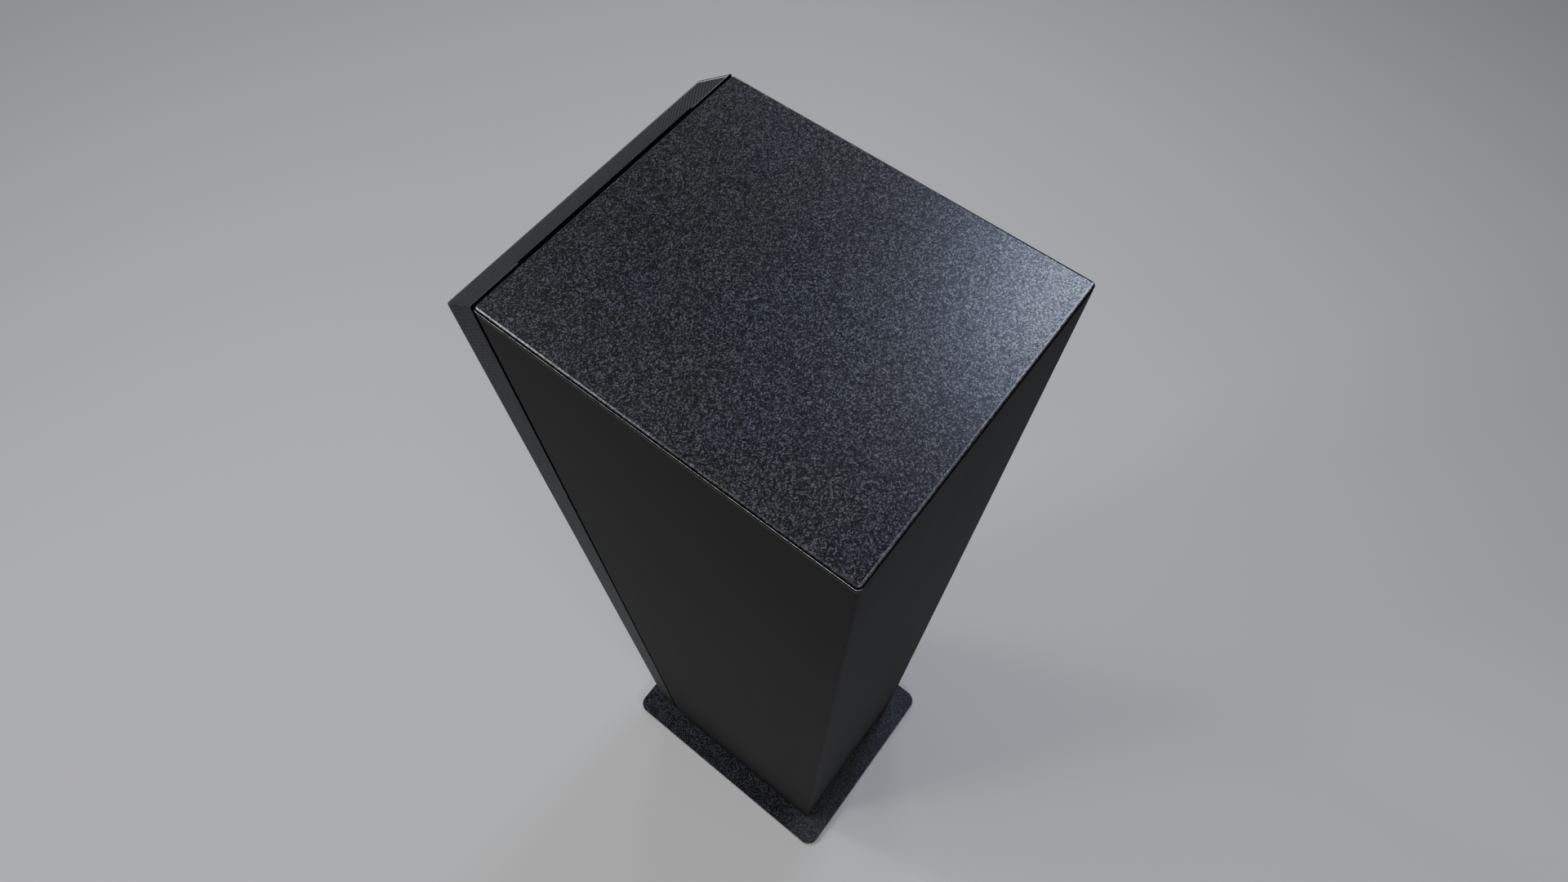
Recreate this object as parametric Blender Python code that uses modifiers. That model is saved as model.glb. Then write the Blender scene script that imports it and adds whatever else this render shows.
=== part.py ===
"""Tall display plinth of folded sheet steel on a floor plate.

The column stands clear of the floor plate on a black kick riser. Its front is a full-height
panel, wedge-topped, that tilts out on two pins at its foot. Two slotted stays stop it. The panel's
sloping top has a long slot with a card pocket under it. Four screw feet level the floor plate.

Units are metres, +Z is up, the front panel faces -Y, and the origin is on the floor under the
middle of the floor plate. Left and right are seen from the front, so right is +X.
"""

import math

import bmesh
import bpy

# ---- driving dimensions -------------------------------------------------------------------------

GAP = 0.0003              # clearance between neighbouring pieces
REACH = 0.010             # how far a cutter runs past the metal
BODY_W = 0.250            # column and panel width
COLUMN_D = 0.290          # column depth without the panel
COLUMN_H = 1.232
PANEL_T = 0.0318          # panel thickness at its foot
SEAM = 0.0012             # open seam between column and panel
TOP_DROP = 0.024          # fall of the panel's sloping top, back to front

PLATE_W = 0.320
PLATE_D = 0.392
PLATE_T = 0.006
PLATE_RADIUS = 0.018
PLATE_Z = 0.004           # underside of the floor plate
RISER_H = 0.042
RISER_SETBACK = 0.001     # riser behind the column's sides and back
TOE_SETBACK = 0.020       # riser behind the column's front

SHELL_T = 0.0015
SHELL_BEND = 0.0032
DEBURR = 0.0003           # broken edge of cut sheet
SIDE_MARGIN = 0.018       # sheet left beside the front opening
HEADER_H = 0.066
SILL_H = 0.020
TOP_T = 0.0026            # top plate, laid on a pad over the shell's rim
TOP_ROUND = 0.0024
PAD_T = 0.0022
PAD_SETBACK = 0.001       # pad behind the column's faces, which leaves a dark line round it
CORE_T = 0.018

HINGE_X = 0.075
HINGE_BACK = 0.008        # pivot behind the column's front
HINGE_DROP = 0.0085       # pivot below the column's bottom edge
PIN_R = 0.003
PIN_CLEAR = 0.0003
PANEL_OPEN = math.radians(30)

STAY_L = 0.200            # stay length, and height of its pivot over the panel's pivot
STAY_X = 0.1012
STAY_T = 0.003
STAY_HALF_W = 0.006
TRACK_X = 0.09445
TRACK_T = 0.0025

SLOT_L = 0.167
SLOT_W = 0.0026
POCKET_DEPTH = 0.060
POCKET_SHEET = 0.001
UNDER_SLOPE = 0.0024      # pocket's top edge below the outer face of the sloping sheet
LINER_T = 0.0012

FOOT_X = 0.092
FOOT_Y = (-0.077, 0.127)
FOOT_STEM_R = 0.0048
FOOT_BORE_R = 0.0052
BOLT_X = 0.113
BOLT_Y = (-0.098, 0.149)
BOLT_R = 0.004
BOLT_HOLE_R = 0.0044

# ---- places worked out from them ----------------------------------------------------------------

HALF_W = BODY_W / 2
BODY_D = COLUMN_D + SEAM + PANEL_T
PANEL_FRONT = -BODY_D / 2
PANEL_BACK = PANEL_FRONT + PANEL_T
COLUMN_FRONT = PANEL_BACK + SEAM
COLUMN_BACK = COLUMN_FRONT + COLUMN_D
PLATE_TOP = PLATE_Z + PLATE_T
COLUMN_Z = PLATE_TOP + RISER_H
COLUMN_TOP = COLUMN_Z + COLUMN_H
PIVOT_Y = COLUMN_FRONT + HINGE_BACK
PIVOT_Z = COLUMN_Z - HINGE_DROP
STAY_Z = PIVOT_Z + STAY_L
STAY_END_Z = STAY_Z + STAY_L
RISER_FRONT = COLUMN_FRONT + TOE_SETBACK
RISER_BACK = COLUMN_BACK - RISER_SETBACK
SHELL_IN_X = HALF_W - SHELL_T
SHELL_IN_BACK = COLUMN_BACK - SHELL_T
FLOOR_T = 0.002
FLOOR_TOP = COLUMN_Z + GAP + FLOOR_T
SHELL_TOP = COLUMN_TOP - TOP_T - PAD_T - 2 * GAP
CORE_Z = SHELL_TOP - CORE_T
FRAME_TOP = CORE_Z - GAP
FRAME_SKIRT = 0.0205
INSIDE = SHELL_T + 0.0004  # a folded tray inside the shell starts this far from its outer face
SLOPE = TOP_DROP / PANEL_T
POCKET_HALF = SLOT_L / 2 + POCKET_SHEET + GAP
POCKET_TOP = COLUMN_TOP - SLOPE * (SLOT_W + POCKET_SHEET) - UNDER_SLOPE

# ---- finishes: colour, roughness, metallic ------------------------------------------------------

SPECKLE = ((0.032, 0.036, 0.050), 0.42, 0.55)
SATIN = ((0.018, 0.018, 0.019), 0.45, 0.30)
MESHED = ((0.024, 0.025, 0.028), 0.50, 0.40)
BLACK = ((0.006, 0.006, 0.007), 0.70, 0.10)
ZINC = ((0.52, 0.53, 0.55), 0.35, 1.00)
DARK_STEEL = ((0.06, 0.06, 0.065), 0.55, 0.80)
IRON = ((0.09, 0.09, 0.095), 0.70, 0.60)
PLYWOOD = ((0.42, 0.28, 0.15), 0.75, 0.00)
RUBBER = ((0.012, 0.012, 0.012), 0.85, 0.00)

AXIS_TURN = {
    "Z": (0, 0, 0),
    "X": (0, math.pi / 2, 0),
    "Y": (-math.pi / 2, 0, 0),
}


# ---- scene and modelling helpers ----------------------------------------------------------------

def clear_scene():
    for obj in list(bpy.data.objects):
        bpy.data.objects.remove(obj, do_unlink=True)


def new_group(name):
    group = bpy.data.collections.new(name)
    bpy.context.scene.collection.children.link(group)
    return group


clear_scene()
PARTS = new_group("display_plinth")
CUTTERS = new_group("cutters")


def place(name, mesh, centre, group=None):
    obj = bpy.data.objects.new(name, mesh)
    obj.location = centre
    (group or PARTS).objects.link(obj)
    return obj


def from_bmesh(name, bm, centre, group=None):
    mesh = bpy.data.meshes.new(name)
    bm.to_mesh(mesh)
    bm.free()
    return place(name, mesh, centre, group)


def middle(low, high):
    return [(a + b) / 2 for a, b in zip(low, high)]


def cube(low, high):
    bm = bmesh.new()
    bmesh.ops.create_cube(bm, size=1)
    bmesh.ops.scale(bm, vec=[b - a for a, b in zip(low, high)], verts=bm.verts)
    return bm


def edges_along(bm, axis):
    index = "XYZ".index(axis)
    return [e for e in bm.edges if abs((e.verts[0].co - e.verts[1].co).normalized()[index]) > 0.99]


def round_edges(bm, edges, radius, segments):
    bmesh.ops.bevel(bm, geom=edges, offset=radius, segments=segments, profile=0.5,
                    affect="EDGES")


def box(name, low, high, round_axis=None, radius=0.0, segments=4, group=None):
    """A block, with its four edges along round_axis rounded."""
    bm = cube(low, high)
    if round_axis:
        round_edges(bm, edges_along(bm, round_axis), radius, segments)
    return from_bmesh(name, bm, middle(low, high), group)


def rod(name, radius, low, high, axis="Z", sides=24, group=None):
    """A cylinder or prism between two points on a line along axis."""
    bm = bmesh.new()
    depth = sum(abs(b - a) for a, b in zip(low, high))
    bmesh.ops.create_cone(bm, cap_ends=True, segments=sides, radius1=radius, radius2=radius,
                          depth=depth)
    obj = from_bmesh(name, bm, middle(low, high), group)
    obj.rotation_euler = AXIS_TURN[axis]
    return obj


def turned(name, profile, origin, axis="Z", steps=24):
    """A round piece: profile is (radius, height) from the top of the axis down to its bottom."""
    bm = bmesh.new()
    points = [bm.verts.new((radius, 0, height)) for radius, height in profile]
    for upper, lower in zip(points, points[1:]):
        bm.edges.new((upper, lower))
    obj = from_bmesh(name, bm, origin)
    obj.rotation_euler = AXIS_TURN[axis]
    turn = obj.modifiers.new("Turn", "SCREW")
    turn.axis = "Z"
    turn.steps = steps
    turn.render_steps = steps
    turn.use_merge_vertices = True
    turn.merge_threshold = 0.00001
    turn.use_smooth_shade = True
    return obj


def ease(obj, width, segments=1, angle=40):
    """Round every edge sharper than angle degrees."""
    bevel = obj.modifiers.new("Ease", "BEVEL")
    bevel.width = width
    bevel.segments = segments
    bevel.limit_method = "ANGLE"
    bevel.angle_limit = math.radians(angle)
    return obj


def thicken(obj, thickness, offset):
    """Give an open sheet its thickness: offset -1 grows inwards, 0 both ways."""
    solid = obj.modifiers.new("Sheet", "SOLIDIFY")
    solid.thickness = thickness
    solid.offset = offset
    solid.use_even_offset = True
    return obj


def boolean(obj, other, operation):
    change = obj.modifiers.new(other.name, "BOOLEAN")
    change.operation = operation
    change.solver = "EXACT"
    change.object = other
    other.hide_render = True
    other.display_type = "WIRE"
    return obj


def cut(obj, cutter):
    return boolean(obj, cutter, "DIFFERENCE")


def cut_block(obj, low, high, round_axis=None, radius=0.0):
    return cut(obj, box(obj.name + "_cut", low, high, round_axis, radius, group=CUTTERS))


def drill(obj, radius, low, high, axis="Z", sides=24):
    return cut(obj, rod(obj.name + "_bore", radius, low, high, axis, sides, group=CUTTERS))


def pan(name, low, high, open_sides, thickness, bend, segments=3):
    """Folded tray or tube: a box without its open sides, bent with a radius, thick inwards."""
    bm = cube(low, high)
    bm.normal_update()
    index = {"X": 0, "Y": 1, "Z": 2}
    gone = [f for f in bm.faces
            if any(f.normal[index[s[1]]] * (1 if s[0] == "+" else -1) > 0.9 for s in open_sides)]
    bmesh.ops.delete(bm, geom=gone, context="FACES_ONLY")
    obj = from_bmesh(name, bm, middle(low, high))
    ease(obj, bend, segments)
    return thicken(obj, thickness, -1)


def strip(name, points, origin, length, thickness, bend):
    """Folded strip: an open outline of x and y round origin, drawn out along Z."""
    curve = bpy.data.curves.new(name, "CURVE")
    curve.dimensions = "2D"
    curve.extrude = length / 2
    line = curve.splines.new("POLY")
    line.points.add(len(points) - 1)
    for point, (first, second) in zip(line.points, points):
        point.co = (first, second, 0, 1)
    drawn = bpy.data.objects.new(name + "_outline", curve)
    drawn.location = origin
    PARTS.objects.link(drawn)
    obj = curve_to_mesh(name, drawn)
    ease(obj, bend, 3)
    return thicken(obj, thickness, 0)


def curve_to_mesh(name, drawn):
    graph = bpy.context.evaluated_depsgraph_get()
    graph.update()
    mesh = bpy.data.meshes.new_from_object(drawn.evaluated_get(graph))
    bm = bmesh.new()
    bm.from_mesh(mesh)
    bmesh.ops.remove_doubles(bm, verts=bm.verts, dist=0.00001)
    bm.to_mesh(mesh)
    bm.free()
    obj = bpy.data.objects.new(name, mesh)
    obj.matrix_world = drawn.matrix_world.copy()
    PARTS.objects.link(obj)
    bpy.data.objects.remove(drawn, do_unlink=True)
    return obj


def finish(objects, look):
    """Give each object its own material."""
    colour, roughness, metallic = look
    for obj in objects:
        material = bpy.data.materials.new(obj.name + "_finish")
        material.use_nodes = True
        shader = material.node_tree.nodes["Principled BSDF"]
        shader.inputs["Base Color"].default_value = (*colour, 1)
        shader.inputs["Roughness"].default_value = roughness
        shader.inputs["Metallic"].default_value = metallic
        obj.data.materials.append(material)


def joint_empty(name, origin, children):
    """An empty on a joint's axis that carries the pieces that move together."""
    empty = bpy.data.objects.new(name, None)
    empty.location = origin
    empty.empty_display_size = 0.02
    PARTS.objects.link(empty)
    bpy.context.view_layer.update()
    for child in children:
        child.parent = empty
        child.matrix_parent_inverse = empty.matrix_world.inverted()


SIDES = (("left", -1), ("right", 1))


# ---- floor plate, feet and riser ----------------------------------------------------------------

def corners(half_x, ys):
    """The four places of a rectangular pattern, with their names."""
    return [(f"{depth}_{side}", sign * half_x, y)
            for depth, y in zip(("front", "rear"), ys) for side, sign in SIDES]


def make_base_plate():
    plate = box("base_plate", (-PLATE_W / 2, -PLATE_D / 2, PLATE_Z),
                (PLATE_W / 2, PLATE_D / 2, PLATE_TOP), "Z", PLATE_RADIUS, 8)
    rim_round, nut_r, nut_h, sunk = 0.0009, 0.0098, 0.008, 0.001
    ease(plate, rim_round, 2)
    bottom, top = PLATE_Z - REACH, PLATE_TOP + nut_h + REACH
    for _, x, y in corners(FOOT_X, FOOT_Y):
        nut = rod("weld_nut", nut_r, (x, y, PLATE_TOP - sunk), (x, y, PLATE_TOP + nut_h),
                  sides=6, group=CUTTERS)
        boolean(plate, nut, "UNION")
        drill(plate, FOOT_BORE_R, (x, y, bottom), (x, y, top))
    for _, x, y in corners(BOLT_X, BOLT_Y):
        drill(plate, BOLT_HOLE_R, (x, y, bottom), (x, y, top))
    finish([plate], SPECKLE)


def make_feet():
    pad_r, pad_h, stem_top, chamfer = 0.015, 0.0025, 0.030, 0.0006
    socket_r, socket_depth = 0.0029, 0.006
    profile = [(0, stem_top), (FOOT_STEM_R - chamfer, stem_top), (FOOT_STEM_R, stem_top - chamfer),
               (FOOT_STEM_R, pad_h), (pad_r - chamfer, pad_h), (pad_r, pad_h - chamfer),
               (pad_r, chamfer), (pad_r - chamfer, 0), (0, 0)]
    for place_name, x, y in corners(FOOT_X, FOOT_Y):
        foot = turned("levelling_foot_" + place_name, profile, (x, y, 0))
        drill(foot, socket_r, (x, y, stem_top - socket_depth), (x, y, stem_top + REACH), sides=6)
        finish([foot], DARK_STEEL)


def make_riser():
    wall, flange, corner_r = 0.002, 0.020, 0.003
    half_x = HALF_W - RISER_SETBACK
    low = (-half_x, RISER_FRONT, PLATE_TOP + GAP)
    high = (half_x, RISER_BACK, COLUMN_Z - GAP)
    riser = box("riser_frame", low, high, "Z", corner_r, 3)
    cut_block(riser, (low[0] + flange, low[1] + flange, low[2] - REACH),
              (high[0] - flange, high[1] - flange, high[2] + REACH))
    cut_block(riser, [v + wall for v in low], [v - wall for v in high])
    for _, x, y in corners(BOLT_X, BOLT_Y):
        drill(riser, BOLT_HOLE_R, (x, y, low[2] - REACH), (x, y, high[2] + REACH))
    finish([riser], BLACK)


def hex_bolt(name, origin, shank_r, shank_l, head_r, head_h):
    """Hex-headed bolt hanging down from the plane under its head, which is at origin."""
    x, y, z = origin
    bolt = rod(name, shank_r, (x, y, z - shank_l), (x, y, z + head_h / 2), sides=16)
    head = rod(name + "_head", head_r, (x, y, z), (x, y, z + head_h), sides=6, group=CUTTERS)
    return boolean(bolt, head, "UNION")


def make_riser_bolts():
    head_r, head_h, short_of_plate = 0.0072, 0.0055, 0.0005
    under_head = FLOOR_TOP + GAP
    for place_name, x, y in corners(BOLT_X, BOLT_Y):
        bolt = hex_bolt("riser_bolt_" + place_name, (x, y, under_head), BOLT_R,
                        under_head - PLATE_Z - short_of_plate, head_r, head_h)
        finish([bolt], ZINC)


# ---- column -------------------------------------------------------------------------------------

def make_column_shell():
    shell = pan("column_shell", (-HALF_W, COLUMN_FRONT, COLUMN_Z), (HALF_W, COLUMN_BACK, SHELL_TOP),
                ("+Z", "-Z"), SHELL_T, SHELL_BEND, 4)
    opening_x, opening_r = HALF_W - SIDE_MARGIN, 0.003
    cut_block(shell, (-opening_x, COLUMN_FRONT - REACH, COLUMN_Z + SILL_H),
              (opening_x, COLUMN_FRONT + REACH, COLUMN_TOP - HEADER_H), "Y", opening_r)
    for _, sign in SIDES:
        drill(shell, MAGNET_R + GAP, (sign * MAGNET_X, COLUMN_FRONT - REACH, MAGNET_Z),
              (sign * MAGNET_X, COLUMN_FRONT + REACH, MAGNET_Z), "Y")
    ease(shell, DEBURR, 1, 60)
    finish([shell], SATIN)


def inside(z):
    """Lowest and highest corners of a tray inside the shell, from z[0] up to z[1]."""
    return ((-HALF_W + INSIDE, COLUMN_FRONT + INSIDE, z[0]),
            (HALF_W - INSIDE, COLUMN_BACK - INSIDE, z[1]))


def make_column_floor():
    rim_h, bend, key_hole_r = 0.0247, 0.0025, 0.007
    low, high = inside((COLUMN_Z + GAP, COLUMN_Z + GAP + rim_h))
    floor = pan("column_floor", low, high, ("+Z",), FLOOR_T, bend)
    for _, x, y in corners(BOLT_X, BOLT_Y):
        drill(floor, BOLT_HOLE_R, (x, y, COLUMN_Z - REACH), (x, y, COLUMN_Z + REACH))
    for _, x, y in corners(FOOT_X, FOOT_Y):
        drill(floor, key_hole_r, (x, y, COLUMN_Z - REACH), (x, y, COLUMN_Z + REACH))
    finish([floor], DARK_STEEL)


def make_top():
    """Top plate on a rubber pad, over a wooden core on an angle frame inside the shell."""
    low = (-HALF_W, COLUMN_FRONT, COLUMN_TOP - TOP_T)
    high = (HALF_W, COLUMN_BACK, COLUMN_TOP)
    bm = cube(low, high)
    round_edges(bm, edges_along(bm, "Z"), SHELL_BEND, 4)
    upper = [e for e in bm.edges if min(v.co.z for v in e.verts) > TOP_T / 2 - GAP]
    round_edges(bm, upper, TOP_ROUND, 4)
    plate = from_bmesh("top_plate", bm, middle(low, high))
    finish([plate], SPECKLE)
    pad = box("top_pad", (low[0] + PAD_SETBACK, low[1] + PAD_SETBACK, SHELL_TOP + GAP),
              (high[0] - PAD_SETBACK, high[1] - PAD_SETBACK, SHELL_TOP + GAP + PAD_T),
              "Z", SHELL_BEND - PAD_SETBACK)
    finish([pad], RUBBER)

    core_gap = 0.0005
    low, high = inside((CORE_Z, CORE_Z + CORE_T - GAP))
    core = box("top_core", [v + core_gap for v in low[:2]] + [low[2]],
               [v - core_gap for v in high[:2]] + [high[2]])
    finish([core], PLYWOOD)

    rail, frame_t, bend = 0.020, 0.002, 0.0025
    low, high = inside((FRAME_TOP - FRAME_SKIRT, FRAME_TOP))
    frame = pan("top_frame", low, high, ("-Z",), frame_t, bend)
    cut_block(frame, (low[0] + rail, low[1] + rail, FRAME_TOP - REACH),
              (high[0] - rail, high[1] - rail, FRAME_TOP + REACH))
    finish([frame], DARK_STEEL)
    make_top_screws(frame, core, FRAME_TOP - frame_t - GAP)


def make_top_screws(frame, core, under_frame):
    """Wood screws driven up through the frame into the core."""
    from_edge, edge_x = 0.012, 0.113
    shank_r, head_r, head_h, bite = 0.002, 0.0038, 0.0024, 0.012
    point_r, point_h, crown_r, rim_h = 0.0006, 0.003, 0.0023, 0.001
    tip = CORE_Z + bite - under_frame
    profile = [(0, tip), (point_r, tip), (shank_r, tip - point_h), (shank_r, 0), (head_r, 0),
               (head_r, -rim_h), (crown_r, -head_h), (0, -head_h)]
    bore_r = shank_r + GAP
    for place_name, x, y in corners(edge_x, (COLUMN_FRONT + from_edge, COLUMN_BACK - from_edge)):
        screw = turned("top_screw_" + place_name, profile, (x, y, under_frame), steps=16)
        drill(frame, bore_r, (x, y, FRAME_TOP - REACH), (x, y, FRAME_TOP + REACH), sides=16)
        drill(core, bore_r, (x, y, CORE_Z - REACH), (x, y, CORE_Z + bite + 2 * GAP), sides=16)
        finish([screw], ZINC)


def hat(half_top, half_brim, depth):
    """Outline of a hat-section stiffener: brim on the line y = 0, crown at y = depth."""
    return [(-half_brim, 0), (-half_top, 0), (-half_top, depth),
            (half_top, depth), (half_top, 0), (half_brim, 0)]


def make_stiffeners():
    half_top, half_brim, depth, sheet, bend = 0.020, 0.036, 0.015, 0.0015, 0.002
    side_y, clear_of_floor, clear_of_frame = 0.035, 0.030, 0.0045
    low, high = COLUMN_Z + clear_of_floor, FRAME_TOP - FRAME_SKIRT - clear_of_frame
    mid, length = (low + high) / 2, high - low
    brim = sheet / 2 + GAP
    outline = hat(half_top, half_brim, depth)
    back = strip("back_stiffener", [(a, -b) for a, b in outline],
                 (0, SHELL_IN_BACK - brim, mid), length, sheet, bend)
    made = [back]
    for side, sign in SIDES:
        made.append(strip("side_stiffener_" + side, [(-sign * b, a) for a, b in outline],
                          (sign * (SHELL_IN_X - brim), side_y, mid), length, sheet, bend))
    finish(made, ZINC)


def make_ballast():
    half_x, y_low, y_high, thick, chamfer = 0.072, -0.055, 0.113, 0.012, 0.0008
    stud_x, stud_y, stud_r, stud_l, stud_clear = 0.050, 0.029, 0.004, 0.046, 0.0005
    nut_r, nut_h = 0.0075, 0.0065
    plates = []
    for index, level in enumerate(("lower", "upper")):
        z = FLOOR_TOP + GAP + index * (thick + GAP)
        plate = box("ballast_plate_" + level, (-half_x, y_low, z), (half_x, y_high, z + thick))
        ease(plate, chamfer)
        plates.append(plate)
    top = FLOOR_TOP + 2 * (thick + GAP) + GAP
    for side, sign in SIDES:
        x = sign * stud_x
        for plate in plates:
            drill(plate, stud_r + stud_clear, (x, stud_y, FLOOR_TOP - REACH),
                  (x, stud_y, top + REACH))
        stud = turned("ballast_stud_" + side,
                      [(0, stud_l), (stud_r - chamfer, stud_l), (stud_r, stud_l - chamfer),
                       (stud_r, 0), (0, 0)], (x, stud_y, FLOOR_TOP + GAP), steps=16)
        nut = rod("ballast_nut_" + side, nut_r, (x, stud_y, top), (x, stud_y, top + nut_h),
                  sides=6)
        drill(nut, stud_r + GAP, (x, stud_y, top - REACH), (x, stud_y, top + nut_h + REACH),
              sides=16)
        finish([stud, nut], ZINC)
    finish(plates, IRON)


# ---- catches and seals in the seam --------------------------------------------------------------

MAGNET_X = 0.098
MAGNET_Z = COLUMN_TOP - HEADER_H + 0.0115
MAGNET_R = 0.0075


def make_magnets():
    """Pot magnets pushed through the header from behind, each with a rim that stops it."""
    rim_r, proud, length, chamfer = 0.009, 0.0008, 0.010, 0.0004
    shoulder = SHELL_T + GAP + proud
    profile = [(0, length), (rim_r, length), (rim_r, shoulder), (MAGNET_R, shoulder),
               (MAGNET_R, chamfer), (MAGNET_R - chamfer, 0), (0, 0)]
    for side, sign in SIDES:
        magnet = turned("magnet_catch_" + side, profile,
                        (sign * MAGNET_X, COLUMN_FRONT - proud, MAGNET_Z), "Y")
        finish([magnet], ZINC)


def make_seals():
    seal_w, seal_t, from_side, from_end = 0.005, 0.0006, 0.0075, 0.004
    y_low, y_high = COLUMN_FRONT - GAP - seal_t, COLUMN_FRONT - GAP
    top = MAGNET_Z + MAGNET_R + from_end
    low = COLUMN_Z + from_end
    seals = []
    for side, sign in SIDES:
        xs = sorted((sign * (HALF_W - from_side), sign * (HALF_W - from_side - seal_w)))
        seals.append(box("seam_seal_" + side, (xs[0], y_low, low), (xs[1], y_high, top - GAP)))
    half = HALF_W - from_side
    seals.append(box("seam_seal_top", (-half, y_low, top), (half, y_high, top + seal_w)))
    finish(seals, RUBBER)


# ---- front panel --------------------------------------------------------------------------------

def make_front_skin():
    low, high = (-HALF_W, PANEL_FRONT, COLUMN_Z), (HALF_W, PANEL_BACK, COLUMN_TOP)
    bm = cube(low, high)
    bm.normal_update()
    for vert in bm.verts:
        if vert.co.z > 0 and vert.co.y < 0:
            vert.co.z -= TOP_DROP
    bmesh.ops.delete(bm, geom=[f for f in bm.faces if f.normal.y > 0.9], context="FACES_ONLY")
    skin = from_bmesh("front_skin", bm, middle(low, high))
    bend, slot_r = 0.0016, 0.0012
    ease(skin, bend, 3)
    thicken(skin, SHELL_T, -1)
    cut_block(skin, (-BODY_W, PANEL_BACK, 0), (BODY_W, PANEL_BACK + REACH, 2 * COLUMN_TOP))
    half = SLOT_L / 2
    cut_block(skin, (-half, PANEL_BACK - SLOT_W, COLUMN_TOP - REACH),
              (half, PANEL_BACK + REACH, COLUMN_TOP + REACH), "Z", slot_r)
    ease(skin, DEBURR, 1, 60)
    finish([skin], MESHED)
    return skin


def make_front_liner():
    flange, below_top, bend = 0.011, 0.0145, 0.002
    low = (-HALF_W + INSIDE, PANEL_BACK - flange, COLUMN_Z + INSIDE)
    high = (HALF_W - INSIDE, PANEL_BACK, COLUMN_TOP - below_top)
    liner = pan("front_liner", low, high, ("-Y",), LINER_T, bend)
    half = POCKET_HALF + 2 * GAP
    cut_block(liner, (-half, PANEL_FRONT, POCKET_TOP - POCKET_DEPTH - REACH),
              (half, PANEL_BACK + REACH, COLUMN_TOP + REACH))
    finish([liner], SATIN)
    return liner


def make_card_pocket():
    """Trough under the slot: front wall, bottom and back wall, with end cheeks."""
    rear_gap, bend = 0.0002, 0.0011
    front = PANEL_BACK - SLOT_W - POCKET_SHEET
    pocket = pan("card_pocket", (-POCKET_HALF, front, POCKET_TOP - POCKET_DEPTH),
                 (POCKET_HALF, PANEL_BACK - rear_gap, POCKET_TOP), ("+Z",), POCKET_SHEET, bend, 2)
    finish([pocket], BLACK)
    return pocket


def make_panel_stiffeners():
    sheet, flange, bend, x, end_gap = 0.0015, 0.014, 0.002, 0.055, 0.030
    front = PANEL_FRONT + SHELL_T + GAP + sheet / 2
    back = PANEL_BACK - LINER_T - GAP - sheet / 2
    low, high = COLUMN_Z + end_gap, POCKET_TOP - POCKET_DEPTH - end_gap / 2
    made = []
    for side, sign in SIDES:
        origin = (sign * x, (front + back) / 2, (low + high) / 2)
        half = (back - front) / 2
        outline = [(-sign * flange, -half), (0, -half), (0, half), (-sign * flange, half)]
        made.append(strip("panel_stiffener_" + side, outline, origin, high - low, sheet, bend))
    finish(made, ZINC)
    return made


# ---- hinges and stays ---------------------------------------------------------------------------

KNUCKLE_R = 0.0055
KNUCKLE_HALF_W = 0.006
EAR_T = 0.003
HEAD_EDGE = 0.0005        # chamfer round the heads of pins and rivets
ROUND_SHORT = 0.0001      # flat left in the middle of a rounded end


def make_hinge(side, sign):
    """Clevis on the riser, leaf under the panel and the pin through both."""
    x = sign * HINGE_X
    bore_r = PIN_R + PIN_CLEAR
    ear_gap, ear_front, ear_h, ear_drop, bend = 0.0004, -0.006, 0.014, 0.002, 0.003
    head_r, head_t = 0.0046, 0.0015
    ear_x = KNUCKLE_HALF_W + ear_gap + EAR_T / 2
    web_y = RISER_FRONT - GAP - EAR_T / 2 - PIVOT_Y
    outline = [(-ear_x, ear_front), (-ear_x, web_y), (ear_x, web_y), (ear_x, ear_front)]
    clevis = strip("hinge_clevis_" + side, outline, (x, PIVOT_Y, PIVOT_Z - ear_drop), ear_h,
                   EAR_T, bend)
    reach = ear_x + EAR_T
    drill(clevis, bore_r, (x - reach, PIVOT_Y, PIVOT_Z), (x + reach, PIVOT_Y, PIVOT_Z), "X")
    finish([clevis], ZINC)
    leaf = make_hinge_leaf(side, x)
    drill(leaf, bore_r, (x - reach, PIVOT_Y, PIVOT_Z), (x + reach, PIVOT_Y, PIVOT_Z), "X")
    finish([leaf], ZINC)
    make_pin("hinge_pin_" + side, (x, PIVOT_Y, PIVOT_Z), ear_x + EAR_T / 2 + GAP, head_r, head_t)
    return leaf


def make_hinge_leaf(side, x):
    """Flat leg under the panel, with a knuckle round the pin below its rear edge."""
    leg_half, leg_t, leg_r, top = 0.015, 0.0027, 0.003, COLUMN_Z - GAP
    leg_front, leg_back = PANEL_FRONT + 0.0035, PIVOT_Y - 0.0085
    web_front, web_low, sunk = PIVOT_Y - 0.010, PIVOT_Z + 0.0015, 0.0002
    knuckle_half = KNUCKLE_HALF_W - sunk / 2
    leaf = box("hinge_leaf_" + side, (x - leg_half, leg_front, top - leg_t),
               (x + leg_half, leg_back, top), "Z", leg_r)
    web = box("leaf_web", (x - KNUCKLE_HALF_W, web_front, web_low),
              (x + KNUCKLE_HALF_W, PIVOT_Y, top - sunk), group=CUTTERS)
    knuckle = rod("leaf_knuckle", KNUCKLE_R, (x - knuckle_half, PIVOT_Y, PIVOT_Z),
                  (x + knuckle_half, PIVOT_Y, PIVOT_Z), "X", group=CUTTERS)
    boolean(leaf, web, "UNION")
    boolean(leaf, knuckle, "UNION")
    return leaf


def make_pin(name, middle_point, half, head_r, head_t):
    """Headed pin along X, with its shank reaching half each way from the middle point."""
    end = half + head_t
    rim = [(head_r - HEAD_EDGE, end), (head_r, end - HEAD_EDGE), (head_r, half), (PIN_R, half)]
    profile = [(0, end)] + rim + [(r, -z) for r, z in reversed(rim)] + [(0, -end)]
    pin = turned(name, profile, middle_point, "X")
    finish([pin], ZINC)
    return pin


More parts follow.
